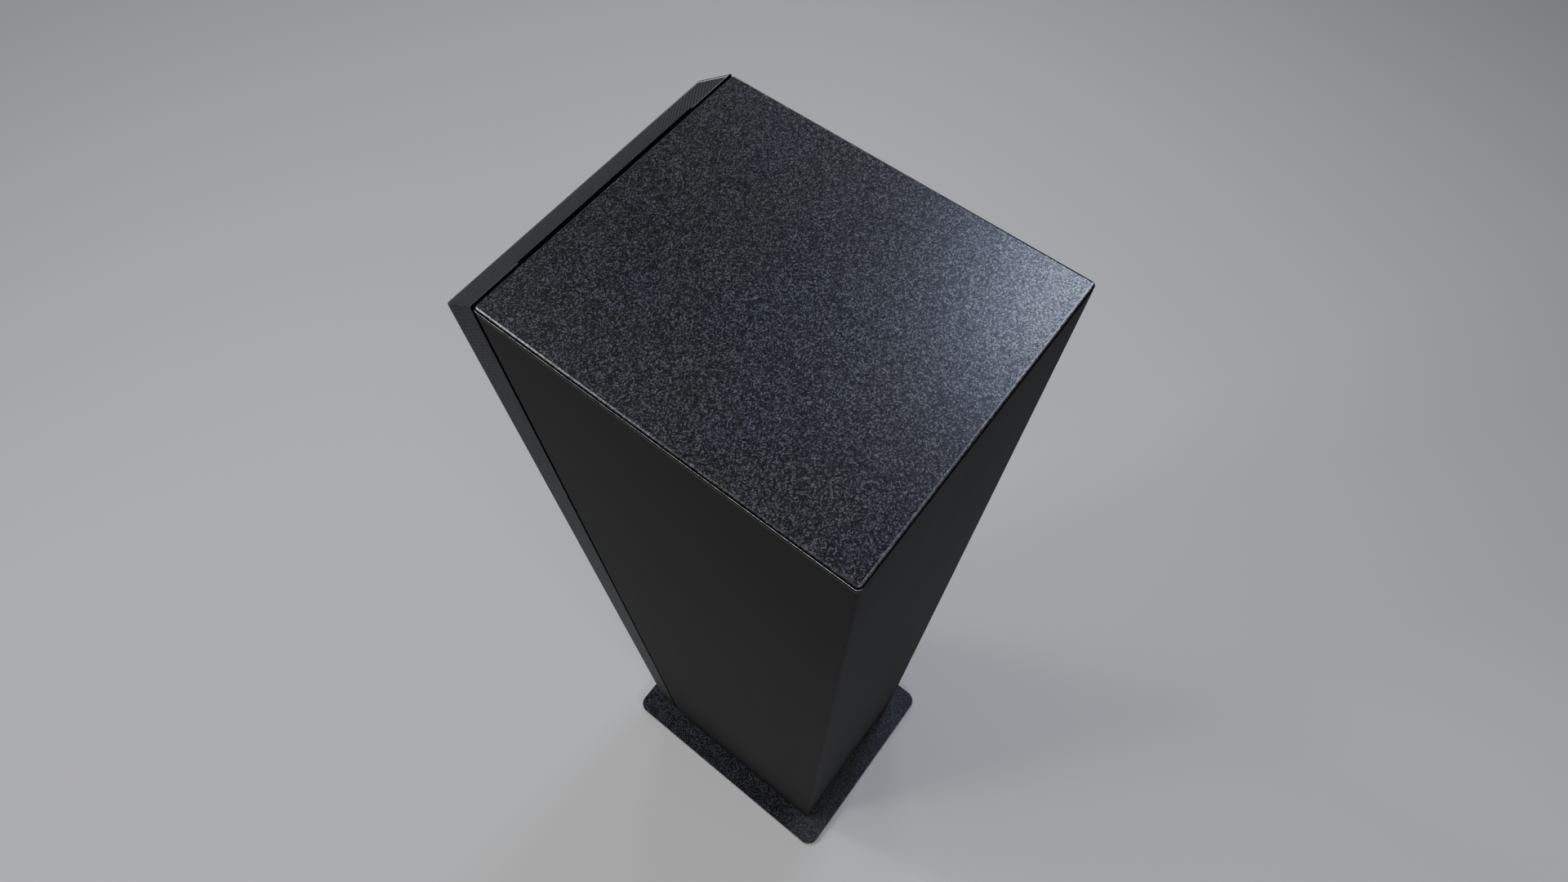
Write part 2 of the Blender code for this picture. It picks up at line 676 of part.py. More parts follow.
def make_rivet(name, sign, z, inner, outer):
    """Pin of a stay: its shank spans inner to outer, the distances from the middle."""
    head_r, head_t = 0.0048, 0.0016
    return make_pin(name, (sign * (inner + outer) / 2, PIVOT_Y, z), (outer - inner) / 2,
                    head_r, head_t)


def make_stay_bracket(side, sign):
    """Z-shaped bracket from the column's side to the stay's plane, with the stay's rivet."""
    sheet, width, bend = TRACK_T, 0.030, 0.0026
    wall_end, step_y, near_end = 0.050, 0.022, -0.0058
    arm_face = STAY_X + STAY_T / 2
    near = arm_face + GAP + sheet / 2
    wall = SHELL_IN_X - GAP - sheet / 2
    outline = [(sign * wall, wall_end), (sign * wall, step_y), (sign * near, step_y),
               (sign * near, near_end)]
    bracket = strip("stay_bracket_" + side, outline, (0, PIVOT_Y, STAY_Z), width, sheet, bend)
    drill(bracket, PIN_R + PIN_CLEAR, (sign * (near - REACH / 2), PIVOT_Y, STAY_Z),
          (sign * (near + REACH / 2), PIVOT_Y, STAY_Z), "X")
    finish([bracket], ZINC)
    make_rivet("stay_pivot_" + side, sign, STAY_Z, arm_face - STAY_T - GAP,
               near + sheet / 2 + GAP)


def make_stay_arm(side, sign):
    xs = sorted((sign * (STAY_X - STAY_T / 2), sign * (STAY_X + STAY_T / 2)))
    end_r, end_segments = STAY_HALF_W - ROUND_SHORT, 6
    arm = box("stay_arm_" + side, (xs[0], PIVOT_Y - STAY_HALF_W, STAY_Z - STAY_HALF_W),
              (xs[1], PIVOT_Y + STAY_HALF_W, STAY_END_Z + STAY_HALF_W), "X", end_r, end_segments)
    for z in (STAY_Z, STAY_END_Z):
        drill(arm, PIN_R + PIN_CLEAR, (xs[0] - REACH, PIVOT_Y, z), (xs[1] + REACH, PIVOT_Y, z), "X")
    finish([arm], ZINC)
    track_back = TRACK_X - TRACK_T / 2 - GAP
    pin = make_rivet("stay_pin_" + side, sign, STAY_END_Z, track_back, STAY_X + STAY_T / 2 + GAP)
    return [arm, pin]


def make_stay_track(side, sign):
    """Slotted angle behind the panel. Its slot lies on a line through the panel's pivot."""
    end_metal, flange_w, web_end, bend, slack = 0.014, 0.022, 0.0085, 0.0026, 0.0006
    travel = 2 * STAY_L * (1 - math.cos(PANEL_OPEN))
    bore_r = PIN_R + PIN_CLEAR
    slot_r = bore_r - ROUND_SHORT
    low = STAY_END_Z - travel
    flange_y = PANEL_BACK + GAP + TRACK_T / 2 - PIVOT_Y
    outline = [(sign * (TRACK_X - flange_w), flange_y), (sign * TRACK_X, flange_y),
               (sign * TRACK_X, web_end)]
    mid = (low + STAY_END_Z) / 2
    length = travel + 2 * (bore_r + end_metal)
    track = strip("stay_track_" + side, outline, (0, PIVOT_Y, mid), length, TRACK_T, bend)
    cut_block(track, (sign * TRACK_X - TRACK_T, PIVOT_Y - bore_r, low - bore_r - slack),
              (sign * TRACK_X + TRACK_T, PIVOT_Y + bore_r, STAY_END_Z + bore_r + slack), "X",
              slot_r)
    finish([track], ZINC)
    return track


def build():
    make_base_plate()
    make_feet()
    make_riser()
    make_riser_bolts()
    make_column_floor()
    make_column_shell()
    make_top()
    make_stiffeners()
    make_ballast()
    make_magnets()
    make_seals()
    panel = [make_front_skin(), make_front_liner(), make_card_pocket()]
    panel += make_panel_stiffeners()
    for side, sign in SIDES:
        panel.append(make_hinge(side, sign))
        panel.append(make_stay_track(side, sign))
        make_stay_bracket(side, sign)
        joint_empty("stay_axis_" + side, (sign * STAY_X, PIVOT_Y, STAY_Z), make_stay_arm(side, sign))
    joint_empty("front_panel_axis", (0, PIVOT_Y, PIVOT_Z), panel)


build()
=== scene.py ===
"""Looks of a tall display plinth: fine sheet-metal shells, turned hardware and finishes.

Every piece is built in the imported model's frame, in metres, and rides on one of its bodies. Places
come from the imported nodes' boxes. The front faces -Y, and the camera looks down from the back right.
"""

import math

import bmesh
import bpy
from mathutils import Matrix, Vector


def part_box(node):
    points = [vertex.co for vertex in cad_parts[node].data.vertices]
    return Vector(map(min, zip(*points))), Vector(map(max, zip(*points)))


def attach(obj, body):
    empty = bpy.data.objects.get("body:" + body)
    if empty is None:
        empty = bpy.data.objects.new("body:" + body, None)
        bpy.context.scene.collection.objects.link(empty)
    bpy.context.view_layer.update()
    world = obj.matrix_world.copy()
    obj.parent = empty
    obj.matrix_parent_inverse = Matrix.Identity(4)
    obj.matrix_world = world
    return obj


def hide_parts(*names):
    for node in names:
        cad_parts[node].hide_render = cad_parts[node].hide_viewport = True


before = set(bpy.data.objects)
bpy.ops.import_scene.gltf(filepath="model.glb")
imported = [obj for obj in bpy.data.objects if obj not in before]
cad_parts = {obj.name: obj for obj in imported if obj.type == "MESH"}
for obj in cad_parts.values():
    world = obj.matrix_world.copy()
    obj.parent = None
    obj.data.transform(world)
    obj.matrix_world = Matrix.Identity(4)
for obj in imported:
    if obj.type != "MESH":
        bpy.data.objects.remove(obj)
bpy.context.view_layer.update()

SIDES = ("left", "right")
CORNERS = tuple(f"{depth}_{side}" for depth in ("front", "rear") for side in SIDES)
AXES = {"X": Vector((1, 0, 0)), "Y": Vector((0, 1, 0)), "Z": Vector((0, 0, 1))}

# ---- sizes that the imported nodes' boxes don't give ----------------------------------------------

GAP = 0.0003
SHEET = 0.0015
PAST = 0.01               # how far a cutter runs past what it cuts

PLATE_CORNER = 0.018
PLATE_EDGE = 0.0013
WELD_NUT_R = 0.0098
FOOT_BORE_R = 0.0052
BOLT_BORE_R = 0.0044
RISER_WALL = 0.002
RISER_FLANGE = 0.020

SHELL_BEND = 0.0032
OPENING_SIDE = 0.018      # sheet left round the column's front opening
OPENING_FOOT = 0.020
OPENING_HEAD = 0.066
TOP_ROUND = 0.0024

PANEL_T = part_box("front_skin")[1].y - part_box("front_skin")[0].y
TOP_DROP = 0.024
PANEL_BEND = 0.0016
SLOT_LIP = 0.0013         # pocket wall and clearance outside the slot's end
SLOT_W = 0.0026
SLOT_DEPTH = 0.012
SLOT_CORNER = 0.0012

SEAL_ROUND = 0.0004
PIN_R = 0.003
MAGNET_R = 0.0075
PITCH = 0.00125           # threads of the feet, bolts and studs
THREAD_DEPTH = 0.0006

GRAIN = 0.0009            # grain of the speckled coat
DIMPLES = 66              # dimples across the panel's width
PLY = 0.0026              # pitch of the plywood's plies
RIM_LIGHT_W = 0.0010           # measure of the rims with painted highlights on the sloping top
END_RIM = 0.0028          # and how far in they start at its left end, its front and the seam
FRONT_RIM = 0.0020
SEAM_RIM = 0.0004
SEAM_SHADE = 0.0022       # band of painted shade on the coats along the seam
NARROW = 0.0016           # a face narrower than this belongs to an edge
CUT_EDGE = 0.0003         # and one narrower than this to the broken edge of a cut

# ---- view; the place is in column widths from the foot of the column ----------------------------

CAMERA_PLACE = Vector((1.0716, 0.8268, 6.8296))
CAMERA_AZIMUTH = math.radians(127.946)
CAMERA_ELEVATION = math.radians(63.329)
CAMERA_LENS = 21.713


# ---- node graphs --------------------------------------------------------------------------------

class Graph:
    """A material's node tree, with short calls for the nodes the finishes are made of."""

    def __init__(self, name):
        self.material = bpy.data.materials.new(name)
        self.material.use_nodes = True
        self.tree = self.material.node_tree
        self.shader = self.tree.nodes["Principled BSDF"]
        self.position = self.add("ShaderNodeTexCoord").outputs["Object"]

    def add(self, kind, **inputs):
        node = self.tree.nodes.new(kind)
        for key, value in inputs.items():
            self.put(node.inputs[key.replace("_", " ")], value)
        return node

    def put(self, socket, value):
        if isinstance(value, bpy.types.NodeSocket):
            self.tree.links.new(value, socket)
        elif isinstance(value, tuple) and socket.type == "RGBA":
            socket.default_value = (*value, 1)
        else:
            socket.default_value = value

    def set(self, **inputs):
        for key, value in inputs.items():
            self.put(self.shader.inputs[key.replace("_", " ")], value)

    def math(self, operation, *values):
        node = self.tree.nodes.new("ShaderNodeMath")
        node.operation = operation
        for socket, value in zip(node.inputs, values):
            self.put(socket, value)
        return node.outputs[0]

    def vector_math(self, operation, *values):
        node = self.tree.nodes.new("ShaderNodeVectorMath")
        node.operation = operation
        for socket, value in zip(node.inputs, values):
            self.put(socket, value)
        return node.outputs["Value" if operation == "DOT_PRODUCT" else "Vector"]

    def parts(self, vector):
        return self.add("ShaderNodeSeparateXYZ", Vector=vector).outputs

    def true_normal(self):
        return self.add("ShaderNodeNewGeometry").outputs["True Normal"]

    def noise(self, scale, detail=2.0, roughness=0.5, vector=None, distortion=0.0):
        node = self.add("ShaderNodeTexNoise", Vector=vector or self.position, Scale=scale,
                        Detail=detail, Roughness=roughness, Distortion=distortion)
        return node.outputs["Fac"]

    def ramp(self, factor, *stops):
        """Colour or grey ramp: stops are (place, grey or colour)."""
        node = self.tree.nodes.new("ShaderNodeValToRGB")
        ends = node.color_ramp.elements
        while len(ends) < len(stops):
            ends.new(0.5)
        for element, (place, shade) in zip(ends, stops):
            element.position = place
            element.color = (*shade, 1) if isinstance(shade, tuple) else (shade, shade, shade, 1)
        self.put(node.inputs["Fac"], factor)
        return node.outputs["Color"]

    def span(self, factor, low, high, out_low, out_high):
        """Carries the range low to high over to out_low to out_high, and stops at its ends."""
        node = self.add("ShaderNodeMapRange", Value=factor)
        for key, value in (("From Min", low), ("From Max", high), ("To Min", out_low),
                           ("To Max", out_high)):
            self.put(node.inputs[key], value)
        return node.outputs["Result"]

    def mix(self, factor, first, second, blend="MIX"):
        node = self.tree.nodes.new("ShaderNodeMix")
        node.data_type = "RGBA"
        node.blend_type = blend
        self.put(node.inputs["Factor"], factor)
        for index, value in ((6, first), (7, second)):
            self.put(node.inputs[index], value)
        return node.outputs[2]

    def mix_value(self, factor, first, second):
        node = self.tree.nodes.new("ShaderNodeMix")
        node.data_type = "FLOAT"
        for index, value in ((0, factor), (2, first), (3, second)):
            self.put(node.inputs[index], value)
        return node.outputs[0]

    def cells(self, size):
        """A random grey for every grain of the given size."""
        node = self.add("ShaderNodeTexVoronoi", Vector=self.position, Scale=1 / size)
        return self.add("ShaderNodeSeparateColor", Color=node.outputs["Color"]).outputs[0]

    def stretched(self, x, y, z):
        return self.vector_math("MULTIPLY", self.position, (x, y, z))

    def bump(self, height, distance, normal=None):
        node = self.add("ShaderNodeBump", Height=height, Distance=distance, Strength=1.0)
        if normal is not None:
            self.put(node.inputs["Normal"], normal)
        return node.outputs["Normal"]

    def soft_normal(self, radius):
        """A normal that rounds the edges of a plain solid in the light."""
        node = self.add("ShaderNodeBevel", Radius=radius)
        node.samples = 6
        return node.outputs["Normal"]

    def edge_mask(self, radius):
        """1 along convex and concave edges of a plain solid, fading within radius."""
        turn = self.vector_math("DOT_PRODUCT", self.soft_normal(radius), self.true_normal())
        return self.span(self.math("SUBTRACT", 1.0, turn), 0.02, 0.25, 0.0, 1.0)

    def crest_mask(self):
        """1 on the faces that settle() marked as worn edges."""
        node = self.tree.nodes.new("ShaderNodeAttribute")
        node.attribute_name = "crest"
        return node.outputs["Fac"]


# ---- finishes -----------------------------------------------------------------------------------

def roll_highlights_and_shade(g):
    """Painted highlight lines and painted shade on the top plate's rolled edge, as two masks.

    The right side has a painted highlight low on the roll, and one where the roll starts, which fades
    from the front corner. The rear has such a line too, fading from its left corner. The other sides
    have a faint one. The roll is painted dark further down, and on the left side right from its start,
    as painted shade.
    """
    turn = g.parts(g.true_normal())
    place = g.parts(g.position)
    low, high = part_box("top_plate")
    across = g.span(place["X"], low.x, high.x, 0.0, 1.0)
    along = g.span(place["Y"], low.y, high.y, 0.0, 1.0)
    rise = turn["Z"]
    right = g.span(turn["X"], 0.02, 0.06, 0.0, 1.0)
    left = g.span(turn["X"], -0.24, -0.08, 1.0, 0.0)
    rear = g.span(turn["Y"], 0.02, 0.06, 0.0, 1.0)
    start = g.ramp(rise, (0.92, 0.0), (0.94, 1.0), (0.9965, 1.0), (0.9985, 0.0))
    middle = g.ramp(rise, (0.68, 0.0), (0.74, 1.0), (0.90, 1.0), (0.94, 0.0))
    foot = g.ramp(rise, (0.15, 0.0), (0.24, 1.0), (0.36, 1.0), (0.42, 0.0))

    # Painted highlights: pale lines where the lamps catch the roll.
    upper = g.math("MULTIPLY", start, g.ramp(along, (0.0, 0.42), (0.20, 0.30), (0.55, 0.04)))
    lower = g.math("MULTIPLY", foot,
                   g.ramp(along, (0.0, 0.80), (0.40, 0.50), (0.75, 0.75), (1.0, 1.0)))
    on_right = g.math("MULTIPLY", g.math("MAXIMUM", upper, lower), right)
    behind = g.math("MULTIPLY", rear, g.ramp(across, (0.0, 0.60), (0.25, 0.35), (0.60, 0.12)))
    elsewhere = g.math("MAXIMUM", g.math("MULTIPLY", middle, g.math("SUBTRACT", 0.06, right)),
                       g.math("MULTIPLY", start, behind))
    # Painted shade on the roll, further down and on its left side.
    dark_left = g.math("MULTIPLY", left, g.span(along, 0.45, 0.80, 0.0, 1.0))
    dark = g.math("MAXIMUM", g.span(rise, 0.75, 0.88, 1.0, 0.0), dark_left)
    return g.math("MAXIMUM", on_right, elsewhere), dark


def rear_painted_light(g, colour):
    """Thin paler colour painted on what reaches out behind the column, as painted light."""
    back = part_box("column_shell")[1].y
    # Painted light: paler towards the back of the column and beyond it.
    rear_light = g.span(g.parts(g.position)["Y"], back - 0.04, back + 0.01, 0.0, 0.03)
    return g.mix(rear_light, colour, (0.85, 0.92, 1.0))


def speckled_coat(name, light, shine, rolled):
    """Blue-black powder coat with light and dark grains and a soft sheen.

    light is the colour of its palest grains and shine its gloss. The rolled coat is the top
    plate's, with painted highlights and painted shade on its rolled edge. The other lies on the
    floor plate, with rubbed edges and painted light behind the column.
    """
    g = Graph(name)
    coarse = g.cells(GRAIN)
    fine = g.cells(GRAIN * 0.6)
    cloud = g.noise(13, 3.0, 0.6)
    crumb = g.noise(900, 2.0, 0.5)
    mixed = g.math("ADD", g.math("MULTIPLY", coarse, 0.6), g.math("MULTIPLY", fine, 0.4))
    pale = tuple(light * part for part in (0.94, 1.0, 1.17))
    middle = tuple(0.27 * part for part in pale)
    grains = g.ramp(mixed, (0.32, (0.0006, 0.0007, 0.0010)), (0.54, (0.0026, 0.0028, 0.0035)),
                    (0.68, middle), (0.82, pale))
    tint = g.ramp(cloud, (0.36, (1.0, 0.95, 0.88)), (0.64, (0.90, 0.96, 1.08)))
    colour = g.mix(1.0, grains, tint, "MULTIPLY")
    # The top plate's roll gets painted highlights and painted shade; the floor plate gets rubbed edges
    # and painted light behind the column.
    if rolled:
        crest, dark = roll_highlights_and_shade(g)
    else:
        crest, dark = g.crest_mask(), 0.0
        colour = rear_painted_light(g, colour)
    # Painted shade: the dark mask turns the roll near black and dulls its gloss.
    colour = g.mix(g.math("MULTIPLY", dark, 0.85), colour, (0.0008, 0.0009, 0.0012))
    gloss = g.math("SUBTRACT", shine, g.math("MULTIPLY", dark, shine * 0.9))
    # Pale marks: painted highlights on the top plate's roll, rubbed edges on the floor plate.
    pale_rims = g.math("MULTIPLY", crest, g.span(crumb, 0.38, 0.58, 0.30, 1.0))
    height = g.math("ADD", mixed, g.math("MULTIPLY", crumb, 0.5))
    g.set(Base_Color=g.mix(pale_rims, colour, (0.86, 0.87, 0.90)),
          Metallic=g.math("MULTIPLY", pale_rims, 0.4),
          Roughness=g.math("ADD", g.span(mixed, 0.2, 0.8, 0.36, 0.30), g.math("MULTIPLY", dark, 0.5)),
          Specular_IOR_Level=g.math("MULTIPLY", g.span(mixed, 0.15, 0.85, 0.38, 1.0), gloss),
          Normal=g.bump(height, 0.00006))
    return g.material


def column_coat():
    """Smooth satin black powder coat, painted black along the seam as painted shade, and paler on cut
    edges.
    """
    g = Graph("column_coat")
    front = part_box("column_shell")[0].y
    depth = g.parts(g.position)["Y"]
    # Painted shade: the coat goes near black along the seam at its front edge.
    outside_seam_shade = g.span(depth, front + SEAM_SHADE * 0.6, front + SEAM_SHADE, 0.0, 1.0)
    peel = g.noise(420, 2.0, 0.5)
    smear = g.noise(5, 4.0, 0.6, g.stretched(1, 1, 0.25))
    dust = g.noise(240, 5.0, 0.7)
    base = g.ramp(smear, (0.30, (0.0140, 0.0140, 0.0140)), (0.70, (0.0185, 0.0181, 0.0172)))
    dusty = g.mix(g.ramp(dust, (0.62, 0.0), (0.80, 0.08)), base, (0.05, 0.048, 0.045))
    pale_rims = g.math("MULTIPLY", g.crest_mask(), 0.45)
    coated = g.mix(outside_seam_shade, (0.0006, 0.0006, 0.0006), dusty)
    g.set(Base_Color=g.mix(pale_rims, coated, (0.20, 0.20, 0.205)), Metallic=pale_rims,
          Roughness=g.span(smear, 0.3, 0.7, 0.60, 0.68),
          Specular_IOR_Level=g.math("MULTIPLY", outside_seam_shade, 0.045),
          Normal=g.bump(peel, 0.00003))
    return g.material


def slope_highlights(g, place, on_slope):
    """Painted highlights on the rims of the panel's sloping top, strongest at its left end and faint
    at its right.
    """
    low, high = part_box("front_skin")
    x, y = place["X"], place["Y"]
    rims = []
    for value, edge, width in ((x, low.x + END_RIM, RIM_LIGHT_W * 1.7),
                               (y, low.y + FRONT_RIM, RIM_LIGHT_W * 0.7),
                               (y, high.y - SEAM_RIM, -RIM_LIGHT_W * 0.5)):
        rims.append(g.math("MULTIPLY", g.math("SUBTRACT", value, edge), 1 / width))
    rim = g.math("MINIMUM", g.math("MINIMUM", rims[0], rims[1]), rims[2])
    ragged = g.math("ADD", rim, g.span(g.noise(900, 3.0, 0.6), 0.3, 0.7, -0.25, 0.25))
    # worn here is the band of painted highlight along the rims.
    worn = g.math("MULTIPLY", g.span(ragged, 0.7, 1.1, 1.0, 0.0), g.span(ragged, -0.2, 0.1, 0.0, 1.0))
    along = g.span(x, low.x, high.x, 0.0, 1.0)
    # The painted highlight is strongest at the left end, where the lamp catches it.
    fade = g.ramp(along, (0.0, 0.42), (0.03, 0.40), (0.10, 0.30), (0.50, 0.16), (0.95, 0.08))
    return g.math("MULTIPLY", g.math("MULTIPLY", worn, fade), on_slope)


def panel_coat():
    """Black sheet with a fine pattern of dimples set on the diagonal, painted highlights on the rims
    of its sloping top, and painted shade on its other faces and along the seam.
    """
    g = Graph("panel_coat")
    low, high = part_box("front_skin")
    cell = (high.x - low.x) / DIMPLES
    facing = g.parts(g.vector_math("ABSOLUTE", g.true_normal()))
    place = g.parts(g.position)
    on_side = g.math("GREATER_THAN", facing["X"], 0.7)
    on_slope = g.math("GREATER_THAN", facing["Z"], 0.4)
    along_slope = g.math("MULTIPLY", place["Y"], math.hypot(1.0, TOP_DROP / PANEL_T))
    across = g.mix_value(on_side, place["X"], place["Y"])
    along = g.mix_value(on_slope, place["Z"], along_slope)
    turns = 2 * math.pi / cell
    waves = g.math("MULTIPLY", g.math("COSINE", g.math("MULTIPLY", across, turns)),
                   g.math("COSINE", g.math("MULTIPLY", along, turns)))
    dimple = g.span(waves, -0.05, 0.40, 0.0, 1.0)
    grain = g.noise(700, 2.0, 0.5)
    smear = g.noise(6, 4.0, 0.6)
    sheet = g.ramp(smear, (0.3, (0.036, 0.037, 0.042)), (0.7, (0.045, 0.046, 0.051)))
    # Painted shade: faces other than the sloping top are darkened, and they turn black along the seam.
    clear_of_seam = g.span(place["Y"], high.y - SEAM_SHADE * 0.4, high.y - SEAM_SHADE * 0.2, 1.0, 0.0)
    shade = g.math("MULTIPLY", g.mix_value(on_slope, 0.42, 1.0),
                   g.math("MAXIMUM", clear_of_seam, on_slope))
    sheet = g.mix(shade, (0.0, 0.0, 0.0), sheet)
    colour = g.mix(dimple, sheet, (0.0025, 0.0025, 0.0032))
    # Painted highlights on the rims of the sloping top.
    pale_rims = slope_highlights(g, place, on_slope)
    height = g.math("ADD", g.math("MULTIPLY", dimple, -1.0), g.math("MULTIPLY", grain, 0.10))
    g.set(Base_Color=g.mix(pale_rims, colour, (0.80, 0.80, 0.82)), Metallic=g.math("MULTIPLY", pale_rims, 0.4),
          Roughness=g.span(grain, 0.35, 0.65, 0.40, 0.50),
          Specular_IOR_Level=g.mix_value(on_slope, 0.05, 0.16),
          Normal=g.bump(height, 0.00022))
    return g.material


# Some finishes below come in two kinds. The rounded kind is for pieces with modelled edges, which
# settle() marks where they are worn. The other is for plain solids and rounds their edges in light.

def matt_black(name, rounded):
    """Matt black textured coat, paler where edges are rubbed."""
    g = Graph(name)
    grain = g.noise(900, 3.0, 0.6)
    base = g.ramp(grain, (0.35, (0.0030, 0.0030, 0.0034)), (0.65, (0.0085, 0.0085, 0.0090)))
    mask = g.crest_mask() if rounded else g.edge_mask(0.0006)
    colour = g.mix(g.math("MULTIPLY", mask, 0.3), base, (0.05, 0.05, 0.052))
    g.set(Base_Color=colour, Metallic=0.0, Roughness=g.span(grain, 0.3, 0.7, 0.62, 0.78),
          Specular_IOR_Level=0.25,
          Normal=g.bump(grain, 0.00008, None if rounded else g.soft_normal(0.0005)))
    return g.material


def zinc(name, rounded):
    """Zinc-plated steel: pale, faintly blue and yellow, with drawing marks and rubbed edges."""
    g = Graph(name)
    draw = g.noise(160, 3.0, 0.55, g.stretched(1, 1, 0.04))
    bloom = g.noise(28, 4.0, 0.6)
    spangle = g.add("ShaderNodeTexVoronoi", Vector=g.position, Scale=380.0).outputs["Color"]
    grey = g.add("ShaderNodeRGBToBW", Color=spangle).outputs[0]
    tone = g.ramp(bloom, (0.30, (0.50, 0.50, 0.47)), (0.50, (0.56, 0.57, 0.59)),
                  (0.72, (0.47, 0.50, 0.56)))
    crystal = g.ramp(grey, (0.0, 0.86), (1.0, 1.08))
    colour = g.mix(1.0, tone, crystal, "MULTIPLY")
    edge = g.crest_mask() if rounded else g.edge_mask(0.0006)
    colour = g.mix(g.math("MULTIPLY", edge, 0.5), colour, (0.70, 0.71, 0.72))
    rough = g.math("ADD", g.span(bloom, 0.3, 0.7, 0.30, 0.44), g.span(draw, 0.3, 0.7, -0.05, 0.06))
    g.set(Base_Color=colour, Metallic=1.0, Roughness=rough,
          Normal=g.bump(draw, 0.00003, None if rounded else g.soft_normal(0.0006)))
    return g.material


def dark_steel(name, rounded):
    """Oiled black steel with brown-blue mottling."""
    g = Graph(name)
    mottle = g.noise(45, 5.0, 0.65)
    pits = g.noise(900, 2.0, 0.5)
    colour = g.ramp(mottle, (0.30, (0.030, 0.028, 0.028)), (0.55, (0.055, 0.056, 0.062)),
                    (0.75, (0.070, 0.062, 0.055)))
    edge = g.crest_mask() if rounded else g.edge_mask(0.0007)
    colour = g.mix(g.math("MULTIPLY", edge, 0.45), colour, (0.28, 0.28, 0.29))
    g.set(Base_Color=colour, Metallic=0.8, Roughness=g.span(mottle, 0.3, 0.7, 0.42, 0.60),
          Normal=g.bump(pits, 0.00005, None if rounded else g.soft_normal(0.0008)))
    return g.material


def raw_iron():
    """Hot-rolled plate: blue-grey mill scale with rust at the sawn edges."""
    g = Graph("ballast_iron")
    scale = g.noise(38, 6.0, 0.7)
    rust = g.noise(85, 5.0, 0.7)
    plate = g.ramp(scale, (0.30, (0.045, 0.047, 0.052)), (0.55, (0.085, 0.087, 0.092)),
                   (0.72, (0.12, 0.105, 0.09)))
    rusty = g.mix(g.ramp(rust, (0.30, 0.2), (0.70, 0.8)), (0.16, 0.065, 0.028), (0.30, 0.15, 0.07))
    mask = g.math("MULTIPLY", g.edge_mask(0.0025), g.span(rust, 0.35, 0.6, 0.2, 0.9))
    patches = g.math("MAXIMUM", mask, g.span(g.noise(22, 6.0, 0.75), 0.60, 0.68, 0.0, 0.5))
    g.set(Base_Color=g.mix(patches, plate, rusty), Metallic=g.span(patches, 0, 1, 0.7, 0.05),
          Roughness=g.span(scale, 0.3, 0.7, 0.50, 0.78),
          Normal=g.bump(scale, 0.0003, g.soft_normal(0.0012)))
    return g.material


def plywood():
    """Birch plywood: long grain on the faces and thin plies at the edges."""
    g = Graph("plywood")
    grain = g.noise(30, 6.0, 0.62, g.stretched(0.12, 2.2, 1), 1.2)
    pores = g.noise(420, 3.0, 0.6, g.stretched(0.05, 1, 1))
    turns = g.math("MULTIPLY", g.parts(g.position)["Z"], 2 * math.pi / PLY)
    plies = g.span(g.math("SINE", turns), -0.2, 0.2, 0.72, 1.0)
    on_edge = g.math("LESS_THAN", g.math("ABSOLUTE", g.parts(g.true_normal())["Z"]), 0.5)
    wood = g.ramp(grain, (0.30, (0.36, 0.22, 0.11)), (0.50, (0.50, 0.34, 0.19)),
                  (0.70, (0.60, 0.43, 0.26)))
    lines = g.add("ShaderNodeCombineColor", Red=plies, Green=plies, Blue=plies).outputs[0]
    colour = g.mix(on_edge, wood, g.mix(1.0, wood, lines, "MULTIPLY"))
    g.set(Base_Color=colour, Roughness=g.span(pores, 0.3, 0.7, 0.62, 0.80),
          Normal=g.bump(pores, 0.0001, g.soft_normal(0.0006)))
    return g.material


def foam_rubber():
    """Closed-cell foam strip: matt, black, with open cells at its skin."""
    g = Graph("seal_rubber")
    cells = g.add("ShaderNodeTexVoronoi", Vector=g.position, Scale=1500.0).outputs["Distance"]
    grain = g.noise(600, 3.0, 0.6)
    colour = g.ramp(grain, (0.3, (0.007, 0.007, 0.007)), (0.7, (0.018, 0.018, 0.018)))
    g.set(Base_Color=colour, Roughness=g.span(cells, 0.0, 0.6, 0.95, 0.75),
          Specular_IOR_Level=0.2, Normal=g.bump(cells, 0.0001))
    return g.material


FINISH = {
    "speckled_coat": speckled_coat("speckled_coat", 0.092, 0.52, True),
    "speckled_fine": speckled_coat("speckled_coat_fine", 0.115, 0.10, False),
    "column_coat": column_coat(),
    "panel_coat": panel_coat(),
    "black_coat": matt_black("black_coat", True),
    "black_coat_plain": matt_black("black_coat_plain", False),
    "zinc_steel": zinc("zinc_turned", True),
    "zinc_plain": zinc("zinc_folded", False),
    "dark_steel": dark_steel("dark_steel_turned", True),
    "dark_plain": dark_steel("dark_steel_folded", False),
    "ballast_iron": raw_iron(),
    "plywood": plywood(),
    "seal_rubber": foam_rubber(),
}


# ---- modelling helpers --------------------------------------------------------------------------

def link(name, mesh):
    obj = bpy.data.objects.new(name, mesh)
    bpy.context.scene.collection.objects.link(obj)
    return obj


def from_bmesh(name, bm):
    mesh = bpy.data.meshes.new(name)
    bm.to_mesh(mesh)
    bm.free()
    return link(name, mesh)


def block_bmesh(low, high):
    bm = bmesh.new()
    bmesh.ops.create_cube(bm, size=1)
    size = Vector(high) - Vector(low)
    bmesh.ops.scale(bm, vec=size, verts=bm.verts)
    bmesh.ops.translate(bm, vec=(Vector(low) + Vector(high)) / 2, verts=bm.verts)
    bm.normal_update()
    return bm


def edges_along(bm, axis):
    index = "XYZ".index(axis)
    return [e for e in bm.edges if abs((e.verts[0].co - e.verts[1].co).normalized()[index]) > 0.99]


def round_edges(bm, edges, radius, segments):
    bmesh.ops.bevel(bm, geom=edges, offset=radius, segments=segments, profile=0.5,
                    affect="EDGES")


